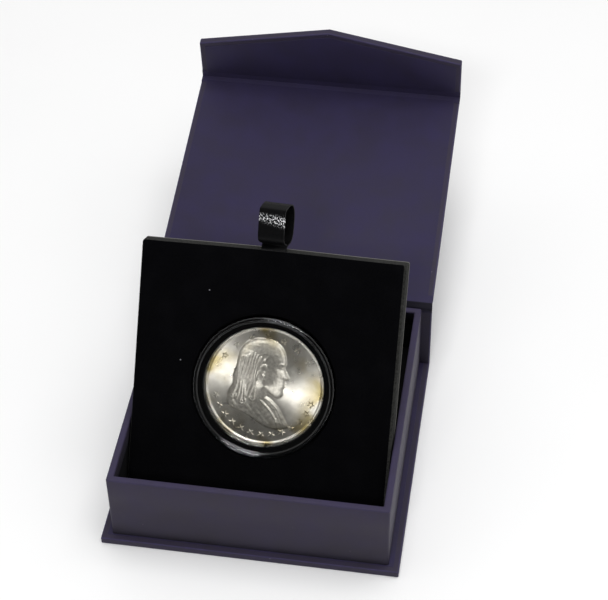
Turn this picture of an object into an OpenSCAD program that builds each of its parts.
// Coin display case: a book-style rigid box with a pointed magnetic flap.
// A tilting foam insert holds a round capsule with one coin. Millimetres, +Z up.
// The origin is the centre of the base board's underside.

/* [Coin] */
// Diameter of the coin
coin_d = 30.6; // [24:0.1:33]
// Thickness of the coin at its rim
coin_t = 2.15; // [1.6:0.05:2.6]
// Width of the raised rim on each face
coin_rim_w = 1.1; // [0.6:0.1:2]
// Depth of the field below the rim
coin_field = 0.2; // [0.1:0.05:0.4]
// Length of the chamfer on the rim's outer corners
coin_edge = 0.15; // [0.05:0.05:0.3]

/* [Capsule] */
// Width of the capsule's ring outside the coin
cap_ring_w = 3.0; // [2.4:0.1:4]
// Thickness of each clear plate
cap_plate = 1.2; // [0.8:0.1:1.6]
// Air gap between the coin and the cover's plate
cap_air = 1.25; // [0.9:0.05:2]
// Thickness of the cover's skirt
cap_skirt_w = 0.95; // [0.6:0.05:1.2]
// Radial gap between the skirt and the seat ring
cap_slip = 0.06; // [0.03:0.01:0.15]
// Radial gap round the coin in its seat
coin_slip = 0.15; // [0.05:0.05:0.4]
// Chamfer on the plates' outer corners
cap_edge = 0.35; // [0.1:0.05:0.5]
// Width of the raised ring round the cover's front
cap_lip_w = 1.1; // [0.8:0.1:1.6]
// Height of the raised ring above the window
cap_lip_h = 0.35; // [0.1:0.05:0.5]
// Height of the capsule's front above the velvet
cap_proud = 0.9; // [0.3:0.1:2]

/* [Insert] */
// Thickness of the velvet sheet
velvet_t = 0.5; // [0.3:0.1:1]
// Thickness of the foam block
foam_t = 5.6; // [5:0.1:8]
// Thickness of the backing card
card_t = 0.9; // [0.5:0.1:1.5]
// Distance that the backing card stays inside the foam's edges
card_inset = 1.0; // [0.5:0.1:3]
// Gap between the insert and each side wall
insert_side_gap = 0.35; // [0.2:0.05:1]
// Gap between the insert and the front wall when it lies flat
insert_front_gap = 0.25; // [0.2:0.05:0.6]
// Gap between the insert and the back wall when it lies flat
insert_back_gap = 0.85; // [0.7:0.05:2]
// Distance of the coin's centre below the middle of the insert
coin_drop = 1.3; // [0:0.1:4]
// Gap round the capsule in its recess
recess_gap = 0.25; // [0.1:0.05:0.6]
// Gap under the capsule in its recess
recess_floor_gap = 0.1; // [0.05:0.05:0.3]
// Angle of the raised insert
insert_tilt = 54.4; // [40:0.1:58]
// Distance of the insert's turning axis behind the front wall
pivot_back = 11.6; // [11:0.1:12.5]
// Height of the insert's turning axis above the tray's floor
pivot_up = 14.7; // [14.3:0.1:15.5]

/* [Ribbon] */
// Width of the ribbon
ribbon_w = 7.0; // [4:0.5:10]
// Thickness of one layer of ribbon
ribbon_t = 0.3; // [0.2:0.05:0.5]
// Height of the pull loop above the insert
loop_h = 12.6; // [8:0.2:13]
// Height of the pinched neck under the pull loop
neck_h = 1.5; // [0.6:0.1:2]
// Width of the neck where the ribbon is pinched
neck_w = 5.4; // [3:0.2:6.5]
// Depth of the pull loop from front to back
loop_depth = 6.6; // [4:0.2:8]
// Turn of the loop about its own upright
loop_turn = 14; // [0:1:25]
// Length of ribbon glued inside the insert
tail_l = 9.8; // [5:0.2:20]
// Depth of the ribbon's slot below the velvet
tail_depth = 0.5; // [0.3:0.1:1.5]

/* [Base and boards] */
// Width of the base, spine and lid
case_w = 77; // [75:0.5:90]
// Thickness of the cover's boards
board_t = 1.8; // [1.5:0.1:2.5]
// Thickness of the covering and lining papers
paper_t = 0.2; // [0.15:0.05:0.3]
// Distance of the lining papers inside the cover's edges
lining_inset = 1.5; // [1:0.25:4]
// Width of the base beside the tray
side_margin = 2.75; // [1:0.25:5]
// Width of the base in front of the tray
front_ledge = 1.8; // [1.2:0.2:4]

/* [Tray] */
// Depth of the tray from front to back, outside
tray_d = 71; // [70:0.5:84]
// Height of the tray above the base
tray_h = 21.4; // [21:0.2:30]
// Thickness of the tray's wall boards
wall_t = 1.4; // [1:0.1:1.8]
// Thickness of the tray's floor board
floor_t = 1.6; // [1.2:0.1:2]
// Depth of the coloured paper turned in over the rim
rim_turn = 4.5; // [2:0.5:8]
// Width of each side strip that the flat insert rests on
riser_w = 5; // [3:0.5:8]
// Height of the side strips
riser_h = 5.7; // [5.4:0.1:6.5]
// Distance of the side strips behind the front wall
riser_back = 20.4; // [18:0.2:30]
// Gap between the side strips and the flat insert
riser_gap = 0.3; // [0.2:0.05:0.6]
// Length of each leg of the tape that holds a tray corner
stay_leg = 9; // [5:0.5:14]
// Thickness of the corner tape
stay_t = 0.15; // [0.1:0.05:0.3]

/* [Lid and flap] */
// Width of the hinge strip between its two creases
hinge_w = 1.4; // [1.2:0.1:2]
// Height of the spine's crease above the tray's rim
crease_up = 0.2; // [0.2:0.05:0.6]
// Distance of the spine's crease behind the tray
crease_back = 0.3; // [0.3:0.05:0.6]
// Paper-only width of the lid next to its crease
gutter_w = 1.4; // [1.2:0.1:3]
// Gap left at each crease
crease_gap = 0.2; // [0.15:0.05:0.3]
// Slope of the hinge strip with the lid laid back
strip_slope = 45; // [40:1:50]
// Slope of the lid laid back
lid_slope = 10.5; // [5:0.5:15]
// Length of the lid from its crease to the flap's crease
lid_l = 73.8; // [73.5:0.1:80]
// Angle between the lid and the standing flap
flap_fold = 86.5; // [80:0.5:95]
// Length of the flap at its sides
flap_side_l = 13.2; // [9:0.2:15]
// Length of the flap at its point
flap_point_l = 21.2; // [18:0.2:21.4]
// Slope of the closed lid down towards the front
close_slope = 0.6; // [0:0.1:0.7]

/* [Magnets] */
// Diameter of the magnets and of the steel discs
magnet_d = 8; // [5:0.5:10]
// Thickness of the magnets in the flap
magnet_t = 1.2; // [0.8:0.1:1.4]
// Thickness of the steel discs in the front wall
disc_t = 0.8; // [0.5:0.1:1]
// Distance of each magnet from the middle
magnet_x = 15; // [8:0.5:20]
// Distance of the magnets from the flap's crease
magnet_drop = 9; // [7:0.5:11]

/* [Hidden] */
$fn = 96;
eps = 0.05;
navy = "#3a3549";
navy_dark = "#2b2637";
black_paper = "#17161a";
greyboard = "#8f8a80";
velvet_black = "#0b0b0d";

// Base, with its middle at the origin
cover_t = board_t + 2 * paper_t;
base_d = front_ledge + tray_d;
base_front = -base_d / 2;
base_back = base_d / 2;

// Tray, which stands on the base and meets its back edge
tray_w = case_w - 2 * side_margin;
tray_front = base_front + front_ledge;
tray_z = cover_t;
rim_z = tray_z + tray_h;
side_t = wall_t + 2 * paper_t;
inner_w = tray_w - 2 * side_t;
inner_front = tray_front + side_t;
inner_back = base_back - side_t;
floor_z = tray_z + floor_t + paper_t;

// Creases between the spine, the hinge strip and the lid
spine_y = base_back;
crease1 = [spine_y + crease_back, rim_z + crease_up];
crease2 = crease1 + hinge_w * [cos(strip_slope), sin(strip_slope)];
spine_top = crease1[1] - crease_gap;
spine_board_top = spine_top - 2 * paper_t - 0.1;

// Height at which the closed flap hangs from its crease
closed_crease_z = crease1[1] + hinge_w * sin(strip_slope) - lid_l * sin(close_slope);
disc_z = closed_crease_z - magnet_drop;

// Capsule and coin, stacked from the capsule's back plate
cap_d = coin_d + 2 * cap_ring_w;
coin_seat_z = cap_plate;
seat_h = coin_t + cap_air * 0.7;
cap_h = 2 * cap_plate + coin_t + cap_air;
seat_r = coin_d / 2 + coin_slip;
skirt_r = cap_d / 2 - cap_skirt_w;
ring_r = skirt_r - cap_slip;

// Insert, measured up its face from the bottom edge
insert_w = inner_w - 2 * insert_side_gap;
insert_l = inner_back - inner_front - insert_front_gap - insert_back_gap;
insert_t = velvet_t + foam_t + card_t;
coin_up = insert_l / 2 - coin_drop;
recess_depth = cap_h - cap_proud + recess_floor_gap;
pivot = [inner_front + pivot_back, floor_z + pivot_up];
flat_face = [inner_front + insert_front_gap, floor_z + riser_h + riser_gap + insert_t];

// Ribbon, whose loop stands on the slot in the insert's top edge
tail_t = 2 * ribbon_t;
tail_z = -velvet_t - tail_depth - tail_t / 2;
slot_gap = 0.1;
neck_foot = 0.2;
loop_steps = 40;
loop_power = 0.8;

// A box from its low corner to its high corner
module block(low, high) {
    translate(low) cube(high - low);
}

// A box centred across the width
module slab(w, y0, y1, z0, z1) {
    block([-w / 2, y0, z0], [w / 2, y1, z1]);
}

// The lid's own frame: Y runs from its crease to the flap, Z points out of its lining
module on_lid() {
    translate([0, crease2[0], crease2[1]]) rotate([lid_slope, 0, 0]) children();
}

// The flap's own frame: Y runs from its crease to the point, Z points out of its lining
module on_flap() {
    on_lid() translate([0, lid_l, 0]) rotate([flap_fold, 0, 0]) children();
}

// The insert's own frame: Y runs up the face, Z points out of the velvet
module on_insert() {
    translate([0, pivot[0], pivot[1]])
        rotate([insert_tilt, 0, 0])
        translate([0, flat_face[0] - pivot[0], flat_face[1] - pivot[1]])
        children();
}

// The capsule's own frame: Z runs from its back plate to its front
module on_capsule() {
    on_insert() translate([0, coin_up, cap_proud - cap_h]) children();
}

// Base: greyboard inside paper, with the paper's edges turned over onto the top
module base_board() {
    color(greyboard)
        slab(case_w - 2 * paper_t, base_front + paper_t, base_back - paper_t, paper_t, cover_t - paper_t);
}

module base_sheet(z0, z1) {
    slab(case_w - 2 * lining_inset, base_front + lining_inset, base_back - lining_inset, z0, z1);
}

module base_wrap() {
    color(navy) difference() {
        slab(case_w, base_front, base_back, 0, cover_t);
        base_board();
        base_sheet(cover_t - paper_t - eps, cover_t + eps);
    }
}

module base_liner() {
    color(navy_dark) base_sheet(cover_t - paper_t, cover_t);
}

// Paper that rounds the corner from the underside of the base to the back of the spine
module base_hinge_strip() {
    color(navy_dark)
        translate([-case_w / 2, base_back, cover_t])
        rotate([90, 0, 90])
        linear_extrude(case_w)
        intersection() {
            difference() {
                circle(cover_t);
                circle(cover_t - paper_t);
            }
            translate([0, -cover_t]) square(cover_t);
        }
}

// Spine: a board behind the tray, with lining in front and covering paper behind
module spine_board() {
    color(greyboard)
        slab(case_w - 2 * paper_t, spine_y + paper_t, spine_y + paper_t + board_t,
            cover_t + paper_t, spine_board_top);
}

module spine_wrap() {
    color(navy) difference() {
        union() {
            slab(case_w, spine_y + paper_t, spine_y + cover_t, cover_t, spine_board_top + paper_t);
            slab(case_w, spine_y + paper_t, spine_y + 2 * paper_t, cover_t, spine_top);
        }
        spine_board();
    }
}

module spine_liner() {
    color(navy_dark)
        slab(case_w, spine_y, spine_y + paper_t, cover_t, spine_top);
}

// Tray: a floor board and four wall boards, closed at the corners with tape
module tray_floor() {
    color(greyboard)
        slab(tray_w - 2 * paper_t, tray_front + paper_t, base_back - paper_t, tray_z, tray_z + floor_t);
}

// Space of a front or back wall board, whose outer face is at y
module cross_wall(y, way) {
    low = min(y, y + way * wall_t);
    slab(tray_w - 2 * paper_t, low, low + wall_t, tray_z + floor_t, rim_z - paper_t);
}

// Space of a side wall board, on the side that way gives
module side_wall(way) {
    x = tray_w / 2 - paper_t;
    low = way > 0 ? x - wall_t : -x;
    block([low, tray_front + paper_t + wall_t, tray_z + floor_t],
        [low + wall_t, base_back - paper_t - wall_t, rim_z - paper_t]);
}

module tray_front_wall() {
    color(greyboard) difference() {
        cross_wall(tray_front + paper_t, 1);
        corner_stays();
        disc_pair(eps);
    }
}

module tray_back_wall() {
    color(greyboard) difference() {
        cross_wall(base_back - paper_t, -1);
        corner_stays();
    }
}

module tray_left_wall() {
    color(greyboard) difference() {
        side_wall(-1);
        corner_stays();
    }
}

module tray_right_wall() {
    color(greyboard) difference() {
        side_wall(1);
        corner_stays();
    }
}

// Paper tape folded round the four upright corners, under the covering paper
module corner_stays() {
    x = tray_w / 2 - paper_t;
    y0 = tray_front + paper_t;
    y1 = base_back - paper_t;
    z0 = tray_z + floor_t;
    color("#c9b48c")
        for (side = [-1, 1], end = [y0, y1]) {
            way = end == y0 ? 1 : -1;
            translate([side * x, end, z0])
                scale([-side, way, 1])
                difference() {
                    cube([stay_leg, stay_leg, rim_z - paper_t - z0 - 2]);
                    translate([stay_t, stay_t, -eps])
                        cube([stay_leg, stay_leg, rim_z]);
                }
        }
}

// Covering paper: up the outside, over the rim and a little way down the inside
module tray_wrap() {
    skin_w = tray_w - 2 * paper_t;
    lined_w = inner_w + 2 * paper_t;
    color(navy) difference() {
        slab(tray_w, tray_front, base_back, tray_z, rim_z);
        slab(inner_w, inner_front, inner_back, tray_z - eps, rim_z + eps);
        slab(lined_w, inner_front - paper_t, inner_back + paper_t, tray_z - eps, rim_z - rim_turn);
        difference() {
            slab(skin_w, tray_front + paper_t, base_back - paper_t, tray_z - eps, rim_z - paper_t);
            slab(lined_w, inner_front - paper_t, inner_back + paper_t, tray_z - 2 * eps, rim_z);
        }
    }
}

// Black lining paper on the floor and on the walls below the turned-in paper
module tray_lining() {
    lined_w = inner_w + 2 * paper_t;
    color(black_paper) difference() {
        slab(lined_w, inner_front - paper_t, inner_back + paper_t, floor_z - paper_t, rim_z - rim_turn);
        slab(inner_w, inner_front, inner_back, floor_z, rim_z);
    }
}

// Space of the two discs, made longer through the wall's outer face by the distance open
module disc_pair(open) {
    for (side = [-1, 1])
        translate([side * magnet_x, tray_front + paper_t + disc_t, disc_z])
        rotate([90, 0, 0])
        cylinder(d = magnet_d, h = disc_t + open);
}

// Steel discs let into the front wall, where the flap's magnets land
module tray_discs() {
    color("silver") disc_pair(0);
}

// Foam strips along the side walls that carry the flat insert
module riser(way) {
    x0 = inner_w / 2 - riser_w;
    low = way > 0 ? x0 : -inner_w / 2;
    color(black_paper)
        block([low, inner_front + riser_back, floor_z], [low + riser_w, inner_back, floor_z + riser_h]);
}

module riser_left() {
    riser(-1);
}

module riser_right() {
    riser(1);
}

// Paper strip between the spine's crease and the lid's crease
module lid_hinge_strip() {
    color(navy_dark)
        translate([0, crease1[0], crease1[1]])
        rotate([strip_slope, 0, 0])
        slab(case_w, crease_gap, hinge_w - crease_gap, -2 * paper_t, 0);
}

// Lid: greyboard inside paper, pressed flat beside the crease
module lid_core() {
    slab(case_w - 2 * paper_t, gutter_w + paper_t, lid_l - crease_gap - paper_t,
        paper_t - cover_t, -paper_t);
}

module lid_sheet_window() {
    slab(case_w - 2 * lining_inset, gutter_w + lining_inset, lid_l - lining_inset, -paper_t, 0);
}

module lid_board() {
    color(greyboard) on_lid() lid_core();
}

module lid_wrap() {
    color(navy) on_lid() difference() {
        union() {
            slab(case_w, gutter_w, lid_l - crease_gap, -cover_t, 0);
            slab(case_w, crease_gap, gutter_w + eps, -2 * paper_t, 0);
        }
        lid_core();
        translate([0, 0, eps]) lid_sheet_window();
        lid_sheet_window();
    }
}

module lid_liner() {
    color(navy) on_lid() lid_sheet_window();
}

// Outline of the pointed flap, drawn in from its edges by the distance inset
module flap_outline(inset) {
    half = case_w / 2;
    rise = flap_point_l - flap_side_l;
    edge = sqrt(half * half + rise * rise);
    drop = inset * edge / half;
    side_l = flap_side_l - drop + inset * rise / half;
    polygon([
        [-half + inset, crease_gap + inset],
        [half - inset, crease_gap + inset],
        [half - inset, side_l],
        [0, flap_point_l - drop],
        [-half + inset, side_l]
    ]);
}

// A flap-shaped plate between two heights, drawn in by the distance inset
module flap_plate(inset, z0, z1) {
    translate([0, 0, z0]) linear_extrude(z1 - z0) flap_outline(inset);
}

module flap_board() {
    color(greyboard) difference() {
        on_flap() flap_plate(paper_t, paper_t - cover_t, -paper_t);
        magnet_pair(eps);
    }
}

module flap_wrap() {
    color(navy) on_flap() difference() {
        flap_plate(0, -cover_t, 0);
        flap_plate(paper_t, paper_t - cover_t, -paper_t);
        flap_plate(lining_inset, -paper_t - eps, eps);
    }
}

module flap_liner() {
    color(navy_dark) on_flap() flap_plate(lining_inset, -paper_t, 0);
}

// Space of the two magnets, made longer through the board's lined side by the distance open
module magnet_pair(open) {
    on_flap()
        for (side = [-1, 1])
            translate([side * magnet_x, magnet_drop, -paper_t - magnet_t])
            cylinder(d = magnet_d, h = magnet_t + open);
}

// Disc magnets let into the flap's board from its lined side
module flap_magnets() {
    color("dimgray") magnet_pair(0);
}

// Insert: a foam block with a round recess, under velvet and over a backing card
module recess() {
    translate([0, coin_up, -recess_depth])
        cylinder(d = cap_d + 2 * recess_gap, h = recess_depth + 1);
}

module insert_foam() {
    slot_w = ribbon_w + 2 * slot_gap;
    slot_t = tail_t + 2 * slot_gap;
    color("#3b3b3d") on_insert() difference() {
        slab(insert_w, 0, insert_l, -velvet_t - foam_t, -velvet_t);
        recess();
        slab(slot_w, insert_l - tail_l - slot_gap, insert_l + 1, tail_z - slot_t / 2, tail_z + slot_t / 2);
    }
}

module insert_velvet() {
    color(velvet_black) on_insert() difference() {
        slab(insert_w, 0, insert_l, -velvet_t, 0);
        recess();
    }
}

module insert_card() {
    color("#26262a") on_insert()
        slab(insert_w - 2 * card_inset, card_inset, insert_l - card_inset, -insert_t, -velvet_t - foam_t);
}

// Both ends of the ribbon, glued in the slot
module ribbon_tail() {
    color("#121214") on_insert()
        slab(ribbon_w, insert_l - tail_l, insert_l, tail_z - tail_t / 2, tail_z + tail_t / 2);
}

// A rounded D outline of the pull loop, grown by the distance grow
module loop_outline(grow) {
    deep = loop_depth / 2 + grow;
    tall = (loop_h - neck_h) / 2 + grow;
    polygon([for (i = [0 : loop_steps - 1])
        let (a = 360 * i / loop_steps, c = cos(a), s = sin(a))
        [deep * sign(c) * pow(abs(c), loop_power), tall * sign(s) * pow(abs(s), loop_power)]]);
}

// The pull loop on its pinched neck, over the slot and turned a little about its upright
module ribbon_loop() {
    color("#121214")
        on_insert()
        translate([0, insert_l, tail_z])
        rotate([0, -loop_turn, 0]) {
            slab(neck_w, neck_foot, neck_h + ribbon_t * 0.8, -tail_t / 2, tail_t / 2);
            translate([-ribbon_w / 2, (loop_h + neck_h) / 2, 0])
                rotate([0, 90, 0])
                rotate([0, 0, 180])
                linear_extrude(ribbon_w)
                difference() {
                    loop_outline(0);
                    loop_outline(-ribbon_t);
                }
        }
}

// Capsule back: a plate with a seat ring, and a shallow well behind the coin's field
module capsule_base() {
    outer = cap_d / 2;
    well_r = coin_d / 2 - coin_rim_w;
    well = cap_plate * 0.3;
    color([0.85, 0.9, 0.95, 0.4]) on_capsule() rotate_extrude()
        polygon([
            [0, 0], [outer - cap_edge, 0], [outer, cap_edge], [outer, cap_plate],
            [ring_r, cap_plate], [ring_r, cap_plate + seat_h], [seat_r, cap_plate + seat_h],
            [seat_r, coin_seat_z], [well_r, coin_seat_z],
            [well_r, coin_seat_z - well], [0, coin_seat_z - well]
        ]);
}

// Capsule front: a window in a raised ring, a skirt that slips over the seat ring,
// and a ring above the coin's rim
module capsule_cover() {
    outer = cap_d / 2;
    lip_in = outer - cap_lip_w;
    skirt_z = cap_plate + 0.12;
    ring_z = coin_seat_z + coin_t + 0.12;
    ring_out = coin_d / 2 - 0.2;
    ring_in = coin_d / 2 - coin_rim_w;
    top_in = cap_h - cap_plate;
    color([0.85, 0.9, 0.95, 0.4]) on_capsule() rotate_extrude()
        polygon([
            [0, top_in], [ring_in, top_in], [ring_in, ring_z], [ring_out, ring_z], [ring_out, top_in],
            [skirt_r, top_in], [skirt_r, skirt_z], [outer, skirt_z], [outer, cap_h - cap_edge],
            [outer - cap_edge, cap_h], [lip_in, cap_h],
            [lip_in - cap_lip_h, cap_h - cap_lip_h], [0, cap_h - cap_lip_h]
        ]);
}

// Coin: a disc with a raised rim round a sunken field on both faces
module coin() {
    r = coin_d / 2;
    field_r = r - coin_rim_w;
    color("#b9b5ac") on_capsule() translate([0, 0, coin_seat_z]) rotate_extrude()
        polygon([
            [0, coin_field], [field_r, coin_field], [field_r + coin_edge, 0], [r - coin_edge, 0],
            [r, coin_edge], [r, coin_t - coin_edge], [r - coin_edge, coin_t],
            [field_r + coin_edge, coin_t], [field_r, coin_t - coin_field], [0, coin_t - coin_field]
        ]);
}

base_board();
base_wrap();
base_liner();
base_hinge_strip();
spine_board();
spine_wrap();
spine_liner();
tray_floor();
tray_front_wall();
tray_back_wall();
tray_left_wall();
tray_right_wall();
corner_stays();
tray_wrap();
tray_lining();
tray_discs();
riser_left();
riser_right();
lid_hinge_strip();
lid_board();
lid_wrap();
lid_liner();
flap_board();
flap_wrap();
flap_liner();
flap_magnets();
insert_foam();
insert_velvet();
insert_card();
ribbon_tail();
ribbon_loop();
capsule_base();
capsule_cover();
coin();
